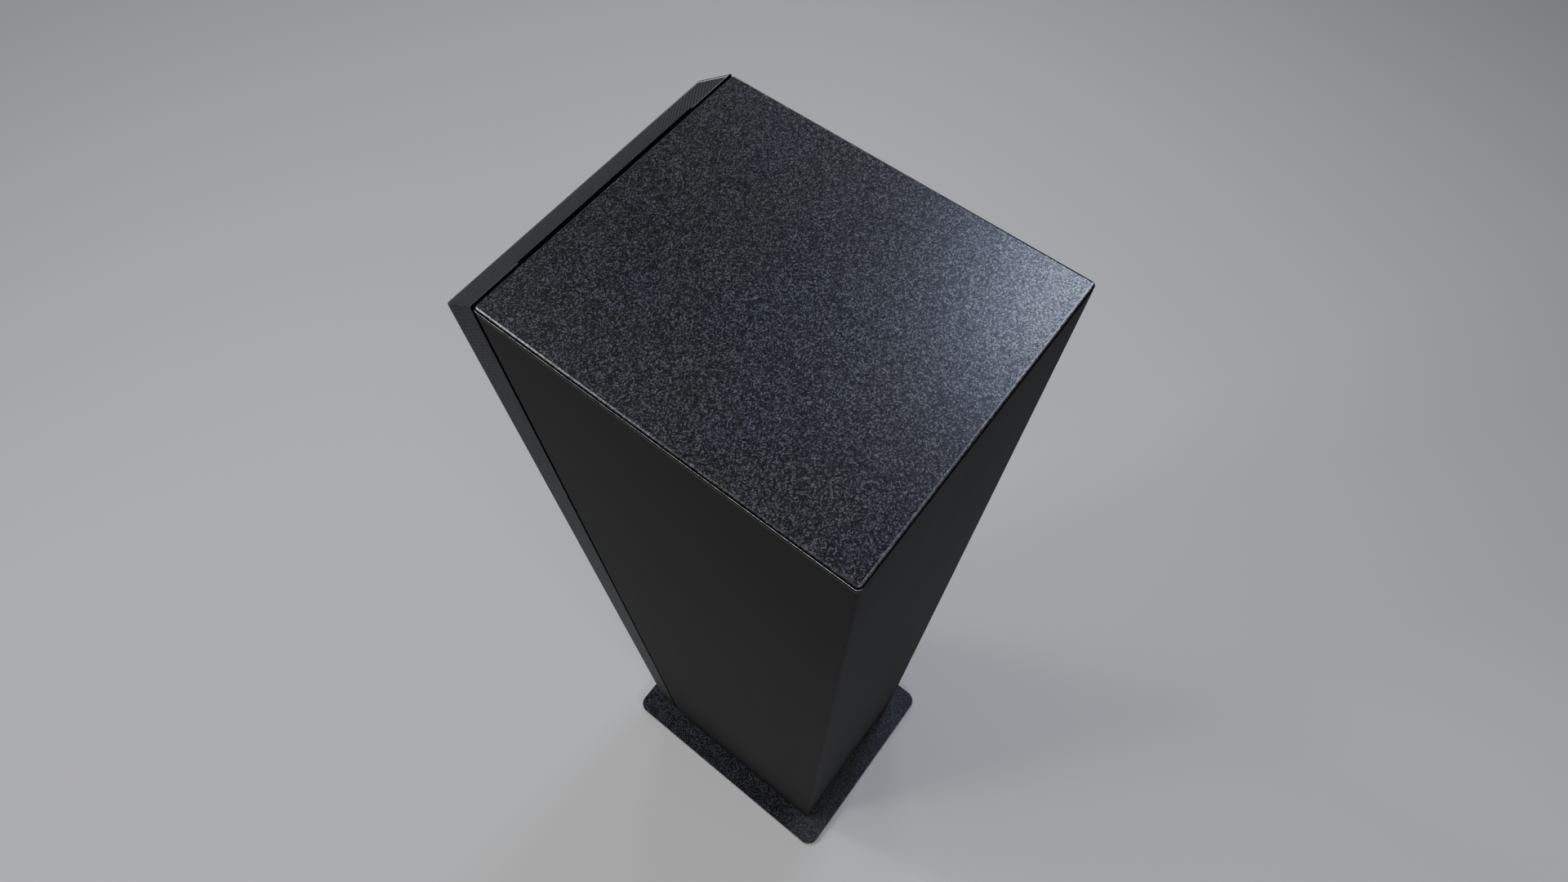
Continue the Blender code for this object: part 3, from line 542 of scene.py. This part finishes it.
def block(name, low, high, round_axis=None, radius=0.0):
    """Block between two corners, with its edges along one axis rounded if one is given."""
    bm = block_bmesh(low, high)
    if round_axis:
        round_edges(bm, edges_along(bm, round_axis), radius, 8)
    return from_bmesh(name, bm)


def ease(obj, width, segments=3, angle=40):
    """Breaks or bends the edges that turn by more than the angle, in degrees."""
    bevel = obj.modifiers.new("Ease", "BEVEL")
    bevel.width = width
    bevel.segments = segments
    bevel.limit_method = "ANGLE"
    bevel.angle_limit = math.radians(angle)


def thicken(obj):
    """Gives a surface the sheet's thickness, inwards."""
    solid = obj.modifiers.new("Sheet", "SOLIDIFY")
    solid.thickness = SHEET
    solid.offset = -1
    solid.use_even_offset = True


def boolean(obj, other, operation="DIFFERENCE"):
    change = obj.modifiers.new("Cut", "BOOLEAN")
    change.operation = operation
    change.solver = "EXACT"
    change.object = other


# settle() asks one of these three how worn a narrow face is, from 0 to 1.

def turned_strip(face, width):
    """How far the face leans from the main axes: 1 in the middle of a rounded edge."""
    return min(1.0, (1 - max(abs(part) for part in face.normal)) * 3.6)


def cut_edge(face, width):
    """Rubbed on the broken edges of cut sheet, and not on its bends."""
    return turned_strip(face, width) if width < CUT_EDGE else 0.0


def unworn(face, width):
    """For pieces whose finish paints its own highlights and shade on its edges."""
    return 0.0


def settle(obj, cutters=(), crest=turned_strip):
    """Applies the modifiers, drops the cutters, marks worn edges and shades the piece."""
    graph = bpy.context.evaluated_depsgraph_get()
    graph.update()
    mesh = bpy.data.meshes.new_from_object(obj.evaluated_get(graph))
    obj.modifiers.clear()
    obj.data = mesh
    for cutter in cutters:
        bpy.data.objects.remove(cutter, do_unlink=True)
    marks = mesh.attributes.new("crest", "FLOAT", "FACE")
    for face, mark in zip(mesh.polygons, marks.data):
        corners = [mesh.vertices[i].co for i in face.vertices]
        longest = max((a - b).length for a, b in zip(corners, corners[1:] + corners[:1]))
        width = face.area / longest
        mark.value = crest(face, width) if width < NARROW else 0.0
    mesh.shade_smooth()
    mesh.set_sharp_from_angle(angle=math.radians(38))
    weighted = obj.modifiers.new("Flat faces", "WEIGHTED_NORMAL")
    weighted.keep_sharp = True
    weighted.weight = 90
    return obj


def dress(obj, body, slot, finish=None, stands_for=()):
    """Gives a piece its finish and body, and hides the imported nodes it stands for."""
    obj.data.materials.clear()
    obj.data.materials.append(FINISH[finish or slot])
    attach(obj, body)
    if stands_for:
        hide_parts(*stands_for)
    return obj


def rod(name, radius, low, high, sides=48):
    """Cylinder between two points on a line along a main axis."""
    low, high = Vector(low), Vector(high)
    bm = bmesh.new()
    bmesh.ops.create_cone(bm, cap_ends=True, segments=sides, radius1=radius, radius2=radius,
                          depth=(high - low).length)
    turn = (high - low).to_track_quat("Z", "Y").to_matrix()
    bmesh.ops.rotate(bm, matrix=turn, verts=bm.verts)
    bmesh.ops.translate(bm, vec=(low + high) / 2, verts=bm.verts)
    return from_bmesh(name, bm)


def lathe(name, profile, origin, axis="Z", sides=64):
    """Turned piece: profile is (radius, height) from the top of the axis to its bottom."""
    bm = bmesh.new()
    points = [bm.verts.new((radius, 0, height)) for radius, height in profile]
    edges = [bm.edges.new(pair) for pair in zip(points, points[1:])]
    bmesh.ops.spin(bm, geom=points + edges, cent=(0, 0, 0), axis=(0, 0, 1), dvec=(0, 0, 0),
                   angle=2 * math.pi, steps=sides, use_merge=True, use_duplicate=False)
    bmesh.ops.remove_doubles(bm, verts=bm.verts, dist=0.000001)
    bmesh.ops.recalc_face_normals(bm, faces=bm.faces)
    turn = AXES[axis].to_track_quat("Z", "Y").to_matrix()
    bmesh.ops.rotate(bm, matrix=turn, verts=bm.verts)
    bmesh.ops.translate(bm, vec=Vector(origin), verts=bm.verts)
    return from_bmesh(name, bm)


def arc(radius, height, size, start, end):
    """Points of a round centred at (radius, height), from one angle to another in degrees."""
    steps = 5
    turn = [math.radians(start + (end - start) * i / steps) for i in range(steps + 1)]
    return [(radius + size * math.cos(t), height + size * math.sin(t)) for t in turn]


def thread(radius, top, bottom, pitch=PITCH, depth=THREAD_DEPTH):
    """Ridges of a screw thread as rings, from top down to bottom."""
    count = int((top - bottom) / pitch)
    points = []
    for i in range(count):
        z = top - i * pitch
        points += [(radius - depth, z), (radius, z - pitch * 0.4), (radius, z - pitch * 0.55)]
    return points + [(radius - depth, bottom)]


def centre(node):
    low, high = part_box(node)
    return (low + high) / 2


def upright_bore(radius, spot, low, high):
    """Cutter for a round hole from a little below low to a little above high."""
    return rod("bore", radius, (spot.x, spot.y, low - PAST), (spot.x, spot.y, high + PAST))


# ---- shells -------------------------------------------------------------------------------------

def make_floor_plate():
    """Plate with rounded corners, bored for its feet and bolts, and its four welded nuts."""
    low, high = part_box("base_plate")
    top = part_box("riser_frame")[0].z - GAP
    bm = block_bmesh(low, (high.x, high.y, top))
    round_edges(bm, edges_along(bm, "Z"), PLATE_CORNER, 20)
    plate = from_bmesh("floor_plate", bm)
    ease(plate, PLATE_EDGE, 4)
    cutters = []
    for corner in CORNERS:
        for node, radius in (("levelling_foot_", FOOT_BORE_R), ("riser_bolt_", BOLT_BORE_R)):
            cutters.append(upright_bore(radius, centre(node + corner), low.z, top))
            boolean(plate, cutters[-1])
    settle(plate, cutters)
    dress(plate, "column", "speckled_coat", "speckled_fine", ["base_plate"])
    for corner in CORNERS:
        spot = centre("levelling_foot_" + corner)
        make_nut("weld_nut_" + corner, spot, top, high.z, WELD_NUT_R, FOOT_BORE_R, "dark_steel")


def make_nut(name, spot, low, high, radius, bore, slot):
    """Hex nut with the crown turned off at both ends."""
    nut = rod(name, radius, (spot.x, spot.y, low), (spot.x, spot.y, high), 6)
    crown = lathe("crown", [(0, high + 0.001), (radius * 0.86, high + 0.001),
                            (radius * 0.86, high), (radius * 1.02, high - radius * 0.10),
                            (radius * 1.02, low + radius * 0.10), (radius * 0.86, low),
                            (radius * 0.86, low - 0.001), (0, low - 0.001)],
                  (spot.x, spot.y, 0))
    hole = upright_bore(bore, spot, low, high)
    boolean(nut, crown, "INTERSECT")
    boolean(nut, hole)
    ease(nut, 0.0002, 2, 50)
    settle(nut, [crown, hole])
    return dress(nut, "column", slot)


def make_riser():
    """Hollow frame with flanges turned in at its top and bottom."""
    low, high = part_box("riser_frame")
    riser = block("riser", low, high, "Z", 0.003)
    inner = block("inner", low + Vector((RISER_FLANGE, RISER_FLANGE, -PAST)),
                  high + Vector((-RISER_FLANGE, -RISER_FLANGE, PAST)), "Z", 0.004)
    wall = Vector((RISER_WALL,) * 3)
    hollow = block("hollow", low + wall, high - wall, "Z", 0.002)
    cutters = [inner, hollow]
    for corner in CORNERS:
        cutters.append(upright_bore(BOLT_BORE_R, centre("riser_bolt_" + corner), low.z, high.z))
    for cutter in cutters:
        boolean(riser, cutter)
    ease(riser, 0.0003, 2, 60)
    settle(riser, cutters)
    dress(riser, "column", "black_coat", stands_for=["riser_frame"])


def make_column():
    """Bent sheet tube with an opening in its front and bores for the magnets."""
    low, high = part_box("column_shell")
    bm = block_bmesh(low, high)
    ends = [face for face in bm.faces if abs(face.normal.z) > 0.9]
    bmesh.ops.delete(bm, geom=ends, context="FACES_ONLY")
    shell = from_bmesh("column_sheet", bm)
    ease(shell, SHELL_BEND, 8)
    thicken(shell)
    half = high.x - OPENING_SIDE
    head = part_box("top_plate")[1].z - OPENING_HEAD
    cutters = [block("opening", (-half, low.y - PAST, low.z + OPENING_FOOT),
                     (half, low.y + PAST, head), "Y", 0.003)]
    for side in SIDES:
        spot = centre("magnet_catch_" + side)
        cutters.append(rod("bore", MAGNET_R + GAP, (spot.x, low.y - PAST, spot.z),
                           (spot.x, low.y + PAST, spot.z)))
    for cutter in cutters:
        boolean(shell, cutter)
    ease(shell, 0.00045, 3, 60)
    settle(shell, cutters, cut_edge)
    dress(shell, "column", "column_coat", stands_for=["column_shell"])


def make_top_sheet():
    """Plate with a rolled upper edge."""
    low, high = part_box("top_plate")
    bm = block_bmesh(low, high)
    round_edges(bm, edges_along(bm, "Z"), SHELL_BEND, 10)
    upper = [e for e in bm.edges if min(v.co.z for v in e.verts) > high.z - GAP]
    round_edges(bm, upper, TOP_ROUND, 8)
    sheet = settle(from_bmesh("top_sheet", bm), crest=unworn)
    dress(sheet, "column", "speckled_coat", stands_for=["top_plate"])


def make_front_sheet():
    """Tray of sheet, open at its back, with a sloping top and a slot beside the column."""
    low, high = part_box("front_skin")
    bm = block_bmesh(low, high)
    for vert in bm.verts:
        if vert.co.z > high.z - 0.001 and vert.co.y < low.y + 0.001:
            vert.co.z -= TOP_DROP
    bm.normal_update()
    back = [face for face in bm.faces if face.normal.y > 0.9]
    bmesh.ops.delete(bm, geom=back, context="FACES_ONLY")
    sheet = from_bmesh("front_sheet", bm)
    ease(sheet, PANEL_BEND, 6)
    thicken(sheet)
    trim = block("trim", (low.x - PAST, high.y, low.z - PAST),
                 (high.x + PAST, high.y + PAST, high.z + PAST))
    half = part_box("card_pocket")[1].x - SLOT_LIP
    slot = block("slot", (-half, high.y - SLOT_W, high.z - SLOT_DEPTH),
                 (half, high.y + PAST, high.z + PAST), "Z", SLOT_CORNER)
    boolean(sheet, trim)
    boolean(sheet, slot)
    ease(sheet, 0.0004, 3, 60)
    settle(sheet, [trim, slot], unworn)
    dress(sheet, "front_panel", "panel_coat", stands_for=["front_skin"])


def make_seals():
    for name in ("seam_seal_left", "seam_seal_right", "seam_seal_top"):
        low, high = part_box(name)
        seal = block(name + "_foam", low, high)
        ease(seal, SEAL_ROUND, 4)
        settle(seal)
        dress(seal, "column", "seal_rubber", stands_for=[name])


# ---- turned hardware ----------------------------------------------------------------------------

def headed_pin(name, body, stands_for):
    """Pin or rivet along X with a domed head at each end."""
    low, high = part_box(stands_for)
    mid, half = (low + high) / 2, (high.x - low.x) / 2
    head_t = 0.0016
    head_r = (high.z - low.z) / 2
    neck = half - head_t
    top = [(0, half), (head_r * 0.45, half), (head_r * 0.80, half - head_t * 0.22),
           (head_r, half - head_t * 0.62), (head_r, neck), (PIN_R, neck)]
    bottom = [(radius, -height) for radius, height in reversed(top)]
    pin = lathe(name, top + bottom, mid, "X")
    settle(pin)
    dress(pin, body, "zinc_steel", stands_for=[stands_for])


def make_pins():
    for side in SIDES:
        headed_pin("turned_hinge_pin_" + side, "column", "hinge_pin_" + side)
        headed_pin("turned_stay_pivot_" + side, "column", "stay_pivot_" + side)
        headed_pin("turned_stay_pin_" + side, "stay_" + side, "stay_pin_" + side)


def make_magnets():
    """Steel pot with a round magnet let into its face, set off by a groove."""
    for side in SIDES:
        low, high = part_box("magnet_catch_" + side)
        spot = (low + high) / 2
        length, rim_r, face_r = high.y - low.y, (high.x - low.x) / 2, MAGNET_R
        shoulder = SHEET + GAP + 0.0008
        profile = [(0, length)] + arc(rim_r - 0.0005, length - 0.0005, 0.0005, 90, 0)
        profile += [(rim_r, shoulder), (face_r, shoulder)]
        profile += arc(face_r - 0.0004, 0.0004, 0.0004, 0, -90)
        profile += [(face_r - 0.0014, 0), (face_r - 0.0014, 0.0004), (face_r - 0.0019, 0.0004),
                    (face_r - 0.0020, 0.0001), (0, 0.0001)]
        magnet = lathe("pot_magnet_" + side, profile, (spot.x, low.y, spot.z), "Y")
        settle(magnet)
        dress(magnet, "column", "zinc_steel", stands_for=["magnet_catch_" + side])


def make_feet():
    """Screw foot: threaded stem, round pad and a hex socket in the stem's top."""
    for corner in CORNERS:
        low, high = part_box("levelling_foot_" + corner)
        spot = (low + high) / 2
        pad_r, pad_h, stem_r, top = (high.x - low.x) / 2, 0.0025, 0.0048, high.z
        profile = [(0, top), (stem_r - 0.0009, top)]
        profile += thread(stem_r, top - THREAD_DEPTH, pad_h + THREAD_DEPTH)
        profile += [(stem_r - THREAD_DEPTH, pad_h)]
        profile += arc(pad_r - 0.0008, pad_h - 0.0008, 0.0008, 90, 0)
        profile += arc(pad_r - 0.0006, 0.0006, 0.0006, 0, -90) + [(0, 0)]
        foot = lathe("turned_foot_" + corner, profile, (spot.x, spot.y, 0))
        socket = rod("socket", 0.0029, (spot.x, spot.y, top - 0.006),
                     (spot.x, spot.y, top + 0.002), 6)
        boolean(foot, socket)
        settle(foot, [socket])
        dress(foot, "foot_" + corner, "dark_steel", stands_for=["levelling_foot_" + corner])


def make_riser_bolts():
    """Hex-headed bolt: chamfered head, shank and thread."""
    for corner in CORNERS:
        name = "riser_bolt_" + corner
        low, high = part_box(name)
        spot = (low + high) / 2
        head_r, head_h, shank_r = (high.y - low.y) / 2, 0.0055, 0.004
        under = high.z - head_h
        profile = [(0, under + 0.001), (shank_r, under + 0.001), (shank_r, low.z + 0.022)]
        profile += thread(shank_r, low.z + 0.0215, low.z + 0.001)
        profile += [(shank_r - 0.001, low.z), (0, low.z)]
        bolt = lathe("turned_" + name, profile, (spot.x, spot.y, 0), sides=48)
        head = rod("head", head_r, (spot.x, spot.y, under), (spot.x, spot.y, high.z), 6)
        crown = lathe("crown", [(0, high.z), (head_r * 0.84, high.z),
                                (head_r * 1.02, high.z - head_r * 0.12), (head_r * 1.02, under),
                                (0, under)], (spot.x, spot.y, 0))
        boolean(head, crown, "INTERSECT")
        settle(head, [crown])
        head.modifiers.clear()  # a plain mesh again, to be joined to the shank
        boolean(bolt, head, "UNION")
        settle(bolt, [head])
        dress(bolt, "column", "zinc_steel", stands_for=[name])


def make_top_screws():
    """Pan-headed wood screw with a cross recess."""
    for corner in CORNERS:
        name = "top_screw_" + corner
        low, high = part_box(name)
        spot = (low + high) / 2
        head_r, head_h, shank_r = (high.x - low.x) / 2, 0.0024, 0.002
        under = low.z + head_h
        profile = [(0, high.z), (shank_r * 0.3, high.z - 0.0003), (shank_r * 0.8, high.z - 0.003)]
        profile += thread(shank_r, high.z - 0.003, under + 0.001, pitch=0.0014, depth=0.0005)
        profile += [(shank_r, under), (head_r, under)]
        profile += arc(head_r * 0.45, under - head_h * 0.25, head_r * 0.55, 0, -70)[1:]
        profile = [(radius, max(height, low.z)) for radius, height in profile] + [(0, low.z)]
        screw = lathe("turned_" + name, profile, (spot.x, spot.y, 0), sides=40)
        arms = []
        for x, y in ((0.0022, 0.0004), (0.0004, 0.0022)):
            arms.append(block("arm", (spot.x - x, spot.y - y, low.z - 0.001),
                              (spot.x + x, spot.y + y, low.z + 0.0013)))
            boolean(screw, arms[-1])
        settle(screw, arms)
        dress(screw, "column", "zinc_steel", stands_for=[name])


def make_ballast_hardware():
    for side in SIDES:
        low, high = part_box("ballast_stud_" + side)
        spot = (low + high) / 2
        radius = (high.x - low.x) / 2
        profile = [(0, high.z), (radius - 0.0011, high.z)]
        profile += thread(radius, high.z - THREAD_DEPTH, low.z + 0.002)
        profile += [(radius, low.z + 0.0015), (radius, low.z), (0, low.z)]
        stud = lathe("threaded_stud_" + side, profile, (spot.x, spot.y, 0), sides=48)
        settle(stud)
        dress(stud, "column", "zinc_steel", stands_for=["ballast_stud_" + side])
        name = "ballast_nut_" + side
        low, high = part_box(name)
        nut = make_nut("turned_" + name, (low + high) / 2, low.z, high.z, (high.y - low.y) / 2,
                       radius + GAP, "zinc_steel")
        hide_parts(name)


# ---- carried-over nodes -------------------------------------------------------------------------

PLAIN_FINISH = {
    "column_floor": "dark_plain",
    "top_frame": "dark_plain",
    "top_core": "plywood",
    "top_pad": "seal_rubber",
    "ballast_plate_lower": "ballast_iron",
    "ballast_plate_upper": "ballast_iron",
    "front_liner": "black_coat_plain",
    "card_pocket": "black_coat_plain",
}


def finish_carried_nodes():
    """Plain folded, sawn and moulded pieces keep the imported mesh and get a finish."""
    for name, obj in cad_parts.items():
        obj.data.materials.clear()
        obj.data.materials.append(FINISH[PLAIN_FINISH.get(name, "zinc_plain")])


# ---- floor, lights and camera -------------------------------------------------------------------

def make_floor():
    """Wide plain floor under the feet."""
    bm = bmesh.new()
    bmesh.ops.create_grid(bm, x_segments=1, y_segments=1, size=30)
    floor = from_bmesh("studio_floor", bm)
    g = Graph("studio_floor")
    g.set(Base_Color=(0.62, 0.62, 0.62), Roughness=0.9, Specular_IOR_Level=0.1)
    floor.data.materials.append(g.material)


def area_light(name, place, target, size, power, colour=(1, 1, 1)):
    """Soft light at a place, turned to its target; size is its sides in metres."""
    data = bpy.data.lights.new(name, "AREA")
    data.shape = "RECTANGLE"
    data.size, data.size_y = size
    data.energy = power
    data.color = colour
    lamp = bpy.data.objects.new(name, data)
    lamp.location = place
    lamp.rotation_euler = (Vector(target) - Vector(place)).to_track_quat("-Z", "Y").to_euler()
    bpy.context.scene.collection.objects.link(lamp)


def make_lights():
    """A dim sky and seven lamps, the first four of them aimed at the top's corners."""
    world = bpy.data.worlds.new("studio")
    world.use_nodes = True
    sky = world.node_tree.nodes["Background"].inputs
    sky["Color"].default_value = (0.84, 0.85, 0.87, 1)
    sky["Strength"].default_value = 0.12
    bpy.context.scene.world = world
    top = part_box("top_plate")[1].z
    cold = (0.66, 0.73, 1.0)
    area_light("sheen", (-1.30, -0.02, top + 1.43), (-0.12, 0.16, top), (0.26, 0.26), 21, cold)
    area_light("front", (0.55, -1.53, top + 1.94), (0.12, -0.12, top), (0.25, 0.25), 15)
    area_light("rim", (-1.87, -1.25, top + 0.52), (-0.12, -0.14, top), (0.6, 0.4), 9)
    area_light("side", (2.0, -1.5, top + 0.6), (0.12, -0.12, top), (0.5, 0.5), 22)
    area_light("overhead", (0.9, -1.9, 3.9), (0.1, 0, 0.2), (2.2, 2.2), 34)
    area_light("above", (0.5, 1.0, 3.6), (0.1, 0.2, 0), (1.2, 1.2), 12)
    area_light("fill", (0.8, 1.7, 1.12), (0.1, 0.19, 0), (1.1, 0.6), 11)


def make_camera():
    """The view from above the back right."""
    low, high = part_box("column_shell")
    width = high.x - low.x
    foot = Vector(((low.x + high.x) / 2, (low.y + high.y) / 2, low.z))
    data = bpy.data.cameras.new("camera")
    data.lens = CAMERA_LENS
    data.sensor_width = 36
    data.clip_start = 0.01
    camera = bpy.data.objects.new("camera", data)
    camera.location = foot + width * CAMERA_PLACE
    level = math.cos(CAMERA_ELEVATION)
    back = Vector((math.sin(CAMERA_AZIMUTH) * level, -math.cos(CAMERA_AZIMUTH) * level,
                   math.sin(CAMERA_ELEVATION)))
    camera.rotation_euler = (-back).to_track_quat("-Z", "Y").to_euler()
    bpy.context.scene.collection.objects.link(camera)
    bpy.context.scene.camera = camera


def build():
    finish_carried_nodes()
    make_floor_plate()
    make_riser()
    make_column()
    make_top_sheet()
    make_front_sheet()
    make_seals()
    make_pins()
    make_magnets()
    make_feet()
    make_riser_bolts()
    make_top_screws()
    make_ballast_hardware()
    make_floor()
    make_lights()
    make_camera()


build()
